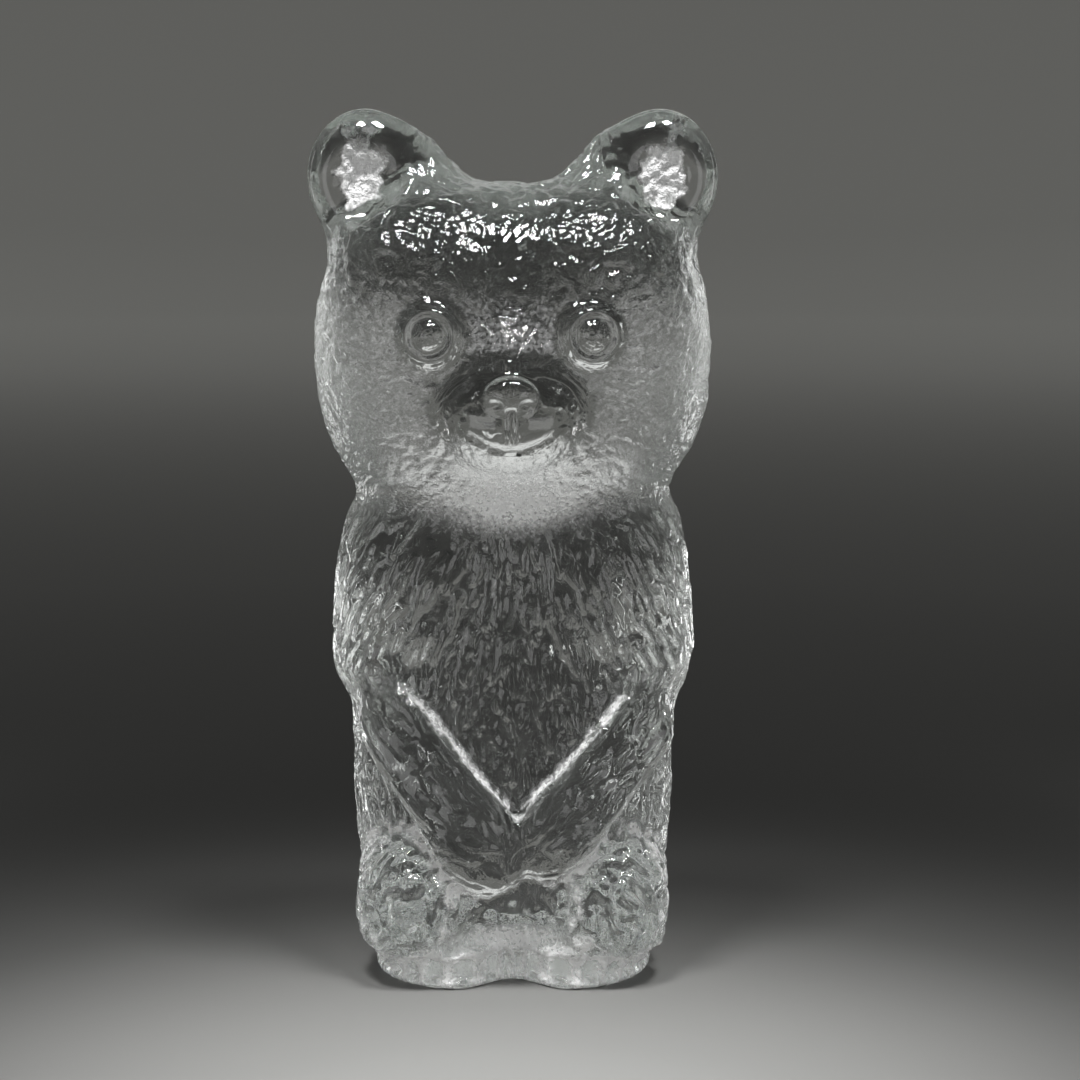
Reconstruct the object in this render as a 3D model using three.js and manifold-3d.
// A solid pressed-glass bear cub that stands on its own flat base.
// Millimetres, +Z up, the bear faces -Y. The glass is one pressing, so the whole figurine is one mesh.
// The origin is the middle of the bounding box's bottom face, on the surface that the bear stands on.
//
// The body and the head are rounded masses that melt into one another. Each mass is a field: a
// function of a point that gives about how far the point is outside it. Fields are melted together,
// and a three.js sphere or lathe is then pushed out, point by point, until it meets their surface.
import * as THREE from "three";
import { mergeVertices } from "three/addons/utils/BufferGeometryUtils.js";
import Module from "manifold-3d";

const wasm = await Module();
wasm.setup();

// ---- Base: the smooth band under the fur, with a lobe in front for each foot ----
const BASE = {
  halfWidth: 19.7,
  frontDepth: 19, // from x = y = 0 to the foot lobes
  backDepth: 15.5,
  height: 5.4,
  squareness: 2.7, // power of its superellipse outline: 2 is an ellipse, more is squarer
  notchDepth: 6, // how far the front edge steps back between the feet
  notchHalfWidth: 5,
  rim: 1.3, // rounding of its edges
};

// ---- Body masses: middles and half sizes as [x, y, z] ----
const TORSO = { at: [0, 0.5, 36], half: [22.7, 15.6, 50], squareness: 2.6 };
const TORSO_BOTTOM = 4.2;
const SHOULDER = { at: [13, 0.2, 56], half: [9.6, 13.4, 12.5] };
const LEG = { at: [13, -8, 10.6], half: [8.4, 11.3, 10.2], squareness: 2.3 };

// ---- Arms ----
// The upper arm is a centre line with the radius at both ends. A forearm or a paw is a squared mass
// whose first half size lies along the given direction and whose last one points out of the chest.
// The bear's right arm, at -X, lies lower, and its paw covers the other one.
const UPPER_ARM = { from: [15.4, -1.5, 61], to: [17.5, -5.2, 44.8], radii: [6.4, 7.3] };
const NEAR_ARM = {
  forearm: {
    at: [-11.7, -11.8, 30.2],
    half: [15, 5.7, 6.6],
    squareness: 3.2,
    along: [14.7, -6, -20.3],
  },
  paw: { at: [-4.2, -14.2, 19.4], half: [7.2, 6.3, 6], squareness: 2.4, along: [13, -2, -18] },
};
const FAR_ARM = {
  forearm: {
    at: [13.1, -11.7, 30.3],
    half: [14.2, 5.3, 6.3],
    squareness: 3.2,
    along: [-16.1, -6, -19.7],
  },
  paw: { at: [5.4, -13.8, 20.6], half: [6.2, 5.4, 5.6], squareness: 2.4, along: [-14, -2, -16] },
};

// ---- Head masses ----
const SKULL = { at: [0, -0.5, 84.6], half: [27.7, 18.6, 25.7], squareness: 2.1 };
const TEMPLE = { at: [13.6, 0.4, 95.5], half: [10.9, 14.8, 13.2], squareness: 2.4 };
const EAR_ROOT = { at: [16.6, 2.2, 107.6], half: [9.2, 5.6, 10.6] };
const MUZZLE = { at: [0, -17.5, 79], half: [9.8, 8.4, 7.6] };
const BRIDGE = { at: [0, -15.6, 85.4], half: [5.2, 6.4, 7] };

// ---- Ears, nose, eyes and mouth ----
const EAR = { at: [20.3, 1.6, 110.5], half: [8.2, 5.3, 9.5] };
const EAR_DISH = { at: [20.9, -5.6, 110.9], half: [5.6, 4.2, 6.7] };
const NOSE = { at: [0, -24.3, 83.1], half: [3.7, 2.5, 2.8] };
const EYE = { at: [10.8, -17.2, 90.4], half: [2.7, 2.6, 2.7] };
const EYELID = { radius: 3.2, thickness: 0.8, turn: 0.3, setBack: -0.9 };
const GROOVE_RADIUS = 0.5;
const MOUTH = { halfWidth: 5.6, middle: 75.6, corner: 77.6 }; // heights of its middle and corners
const PHILTRUM_TOP = 80.6;

// ---- How softly the masses melt together, as the width of the fillet ----
const MELT = { base: 2.5, shoulder: 7, leg: 2, temple: 7, earRoot: 5, snout: 3 };

// ---- Mesh fineness: columns and rows ----
const BODY_MESH = [52, 34];
const HEAD_MESH = [50, 32];
const FOREARM_MESH = [22, 18];
const EAR_MESH = [20, 14];
const SMALL_MESH = [14, 10];
const REACH = 50; // farther out than any surface is from the middle of its mass
const STRIDE = 0.5; // step of the search inwards for a surface

const mirror = ([x, y, z]) => [-x, y, z];

// ---- Fields ----
// A rounded mass: an ellipsoid, or squarer than one. Its level is 1 on its surface, and dividing by
// the slope of the level turns the difference into a distance.
function mass({ at, half, squareness = 2 }) {
  return (point) => {
    const parts = point.map((value, i) => Math.abs(value - at[i]) / half[i]);
    const level = parts.reduce((sum, part) => sum + part ** squareness, 0) ** (1 / squareness);
    if (level < 1e-6) return -Math.min(...half);
    const slopes = parts.map((part, i) => (part / level) ** (squareness - 1) / half[i]);
    return (level - 1) / Math.hypot(...slopes);
  };
}

// A length of limb as a field: a straight centre line whose radius changes evenly along it.
function limb({ from, to, radii }) {
  const line = new THREE.Line3(new THREE.Vector3(...from), new THREE.Vector3(...to));
  const nearest = new THREE.Vector3();
  return (point) => {
    const here = new THREE.Vector3(...point);
    const share = line.closestPointToPointParameter(here, true);
    return here.distanceTo(line.at(share, nearest)) - THREE.MathUtils.lerp(...radii, share);
  };
}

// The base band: its outline in plan, as a rounded slab.
function baseBand() {
  const { halfWidth, frontDepth, backDepth, height, squareness, rim } = BASE;
  return ([x, y, z]) => {
    const notch = BASE.notchDepth * Math.exp(-((x / BASE.notchHalfWidth) ** 2));
    const depth = y < 0 ? frontDepth - notch : backDepth;
    const across = (Math.abs(x) / halfWidth) ** squareness + (Math.abs(y) / depth) ** squareness;
    const sideways = (across ** (1 / squareness) - 1) * Math.min(halfWidth, depth) + rim;
    const upward = Math.abs(z - height / 2) - height / 2 + rim;
    const outside = Math.hypot(Math.max(sideways, 0), Math.max(upward, 0));
    return outside + Math.min(Math.max(sideways, upward), 0) - rim;
  };
}

function mirrored(field) {
  return (point) => field([Math.abs(point[0]), point[1], point[2]]);
}

// Two fields as one, with a fillet of the given width where they meet.
function melted(first, second, width) {
  return (point) => {
    const [a, b] = [first(point), second(point)];
    const overlap = Math.max(width - Math.abs(a - b), 0) / width;
    return Math.min(a, b) - (overlap * overlap * width) / 4;
  };
}

function bodyField() {
  const column = mass(TORSO);
  const torso = (point) => Math.max(column(point), TORSO_BOTTOM - point[2]);
  let body = melted(baseBand(), torso, MELT.base);
  body = melted(body, mirrored(mass(SHOULDER)), MELT.shoulder);
  body = melted(body, mirrored(limb(UPPER_ARM)), MELT.shoulder);
  return melted(body, mirrored(mass(LEG)), MELT.leg);
}

function headField() {
  let skull = melted(mass(SKULL), mirrored(mass(TEMPLE)), MELT.temple);
  skull = melted(skull, mirrored(mass(EAR_ROOT)), MELT.earRoot);
  const snout = melted(mass(MUZZLE), mass(BRIDGE), MELT.snout);
  return melted(skull, snout, MELT.snout);
}

// ---- From fields and three.js geometry to solids ----
// The outermost point of a field's surface along a ray from a middle.
function surfacePoint(field, middle, direction) {
  const at = (distance) => middle.clone().addScaledVector(direction, distance);
  let [inner, outer] = [REACH, REACH];
  while (inner > 0 && field(at(inner).toArray()) > 0) {
    outer = inner;
    inner -= STRIDE;
  }
  for (let i = 0; i < 12; i++) {
    const half = (inner + outer) / 2;
    if (field(at(half).toArray()) > 0) outer = half;
    else inner = half;
  }
  return at(inner);
}

// Moves every point of a geometry along its own ray to the field's surface. The function middleOf
// gives the point that the ray starts from.
function pushedOut(geometry, field, middleOf) {
  const position = geometry.attributes.position;
  const point = new THREE.Vector3();
  for (let i = 0; i < position.count; i++) {
    point.fromBufferAttribute(position, i);
    const middle = middleOf(point);
    const direction = point.clone().sub(middle);
    if (direction.length() < 1e-3) continue;
    const moved = surfacePoint(field, middle, direction.normalize());
    position.setXYZ(i, moved.x, moved.y, moved.z);
  }
  return geometry;
}

// A closed geometry as a manifold-3d solid.
function solid(geometry) {
  const bare = geometry.clone();
  bare.deleteAttribute("normal");
  bare.deleteAttribute("uv");
  const merged = mergeVertices(bare, 1e-3);
  return new wasm.Manifold(
    new wasm.Mesh({
      numProp: 3,
      vertProperties: new Float32Array(merged.attributes.position.array),
      triVerts: new Uint32Array(merged.index.array),
    }),
  );
}

// A manifold-3d solid as a geometry.
function geometryOf(body) {
  const mesh = body.getMesh();
  const geometry = new THREE.BufferGeometry();
  geometry.setAttribute("position", new THREE.BufferAttribute(mesh.vertProperties, 3));
  geometry.setIndex(new THREE.BufferAttribute(mesh.triVerts, 1));
  geometry.computeVertexNormals();
  return geometry;
}

function joined(bodies) {
  return bodies.reduce((whole, body) => whole.add(body));
}

// Turns X to lie along a direction and Z to point out of the bear's front.
function turnedAlong(direction) {
  const first = new THREE.Vector3(...direction).normalize();
  const across = first.clone().cross(new THREE.Vector3(0, -1, 0)).normalize();
  return new THREE.Matrix4().makeBasis(first, across, first.clone().cross(across));
}

// A rounded mass as a solid: an ellipsoid, or squarer than one.
function rounded({ at, half, squareness = 2, along }, [columns, rows]) {
  const geometry = new THREE.SphereGeometry(1, columns, rows).rotateX(Math.PI / 2);
  const position = geometry.attributes.position;
  const point = new THREE.Vector3();
  for (let i = 0; i < position.count; i++) {
    point.fromBufferAttribute(position, i);
    const parts = point.toArray().map(Math.abs);
    const level = parts.reduce((sum, part) => sum + part ** squareness, 0) ** (1 / squareness);
    point.divideScalar(level);
    position.setXYZ(i, point.x, point.y, point.z);
  }
  geometry.scale(...half);
  if (along) geometry.applyMatrix4(turnedAlong(along));
  return solid(geometry.translate(...at));
}

function bothSides(part, make) {
  return [make(part), make({ ...part, at: mirror(part.at) })];
}

// ---- The sub-parts ----
// Rings of points from the flat bottom up into the head, closer together round the base band.
function body() {
  const [columns, rows] = BODY_MESH;
  const top = SKULL.at[2] - 8;
  const heights = [0, 0.25, 0.8, BASE.rim, 2.6];
  for (let i = 0; i <= rows; i++) {
    heights.push(THREE.MathUtils.lerp(BASE.height - BASE.rim, top, i / rows));
  }
  const profile = heights.map((height) => new THREE.Vector2(1, height));
  profile.unshift(new THREE.Vector2(0, 0));
  profile.push(new THREE.Vector2(0, top));
  const geometry = new THREE.LatheGeometry(profile, columns).rotateX(Math.PI / 2);
  const justAbove = 0.01; // the flat bottom itself is where the field stops changing
  const field = bodyField();
  const lifted = ([x, y, z]) => field([x, y, Math.max(z, justAbove)]);
  return solid(pushedOut(geometry, lifted, ({ z }) => new THREE.Vector3(0, 0, z)));
}

function lowerArm({ forearm, paw }) {
  return rounded(forearm, FOREARM_MESH).add(rounded(paw, EAR_MESH));
}

function head() {
  const middle = new THREE.Vector3(...SKULL.at);
  const geometry = new THREE.SphereGeometry(1, ...HEAD_MESH).rotateX(Math.PI / 2);
  geometry.translate(...SKULL.at);
  return solid(pushedOut(geometry, headField(), () => middle));
}

// An eye: a small dome inside a raised ring of lid that follows the turn of the face.
function eye({ at: [x, y, z], half }) {
  const lid = new THREE.TorusGeometry(EYELID.radius, EYELID.thickness, 8, 18);
  lid.rotateX(Math.PI / 2).rotateZ(Math.sign(x) * EYELID.turn);
  lid.translate(x, y + EYELID.setBack, z);
  return rounded({ at: [x, y, z], half }, SMALL_MESH).add(solid(lid));
}

// The point of the muzzle's surface at a given x and z.
function onMuzzle(x, z) {
  const { at, half } = MUZZLE;
  const share = 1 - ((x - at[0]) / half[0]) ** 2 - ((z - at[2]) / half[2]) ** 2;
  return new THREE.Vector3(x, at[1] - half[1] * Math.sqrt(share), z);
}

function groove(points) {
  const section = new THREE.Shape().absarc(0, 0, GROOVE_RADIUS, 0, 2 * Math.PI);
  const extrudePath = new THREE.CatmullRomCurve3(points);
  return solid(new THREE.ExtrudeGeometry(section, { steps: 10, extrudePath, curveSegments: 4 }));
}

// A short upright line under the nose, and a gently rising line for the mouth.
function mouth() {
  const { halfWidth, middle, corner } = MOUTH;
  const lips = [-1, -0.5, 0, 0.5, 1].map((share) => {
    return onMuzzle(share * halfWidth, THREE.MathUtils.lerp(middle, corner, share * share));
  });
  const philtrum = [0, 0.5, 1].map((share) => {
    return onMuzzle(0, THREE.MathUtils.lerp(middle, PHILTRUM_TOP, share));
  });
  return groove(lips).add(groove(philtrum));
}

function glassBear() {
  const whole = joined([
    body(),
    lowerArm(NEAR_ARM),
    lowerArm(FAR_ARM),
    head(),
    ...bothSides(EAR, (part) => rounded(part, EAR_MESH)),
    ...bothSides(EYE, eye),
    rounded(NOSE, SMALL_MESH),
  ]);
  const dishes = joined(bothSides(EAR_DISH, (part) => rounded(part, EAR_MESH)));
  const geometry = geometryOf(whole.subtract(dishes).subtract(mouth()));
  geometry.computeBoundingBox();
  const centre = geometry.boundingBox.getCenter(new THREE.Vector3());
  return geometry.translate(-centre.x, -centre.y, 0);
}

const clearGlass = new THREE.MeshStandardMaterial({
  color: 0xf2f7f4,
  roughness: 0.04,
  metalness: 0,
  transparent: true,
  opacity: 0.35,
});

const figurine = new THREE.Group();
const bear = new THREE.Mesh(glassBear(), clearGlass);
bear.name = "glass_bear";
figurine.add(bear);

export default figurine;
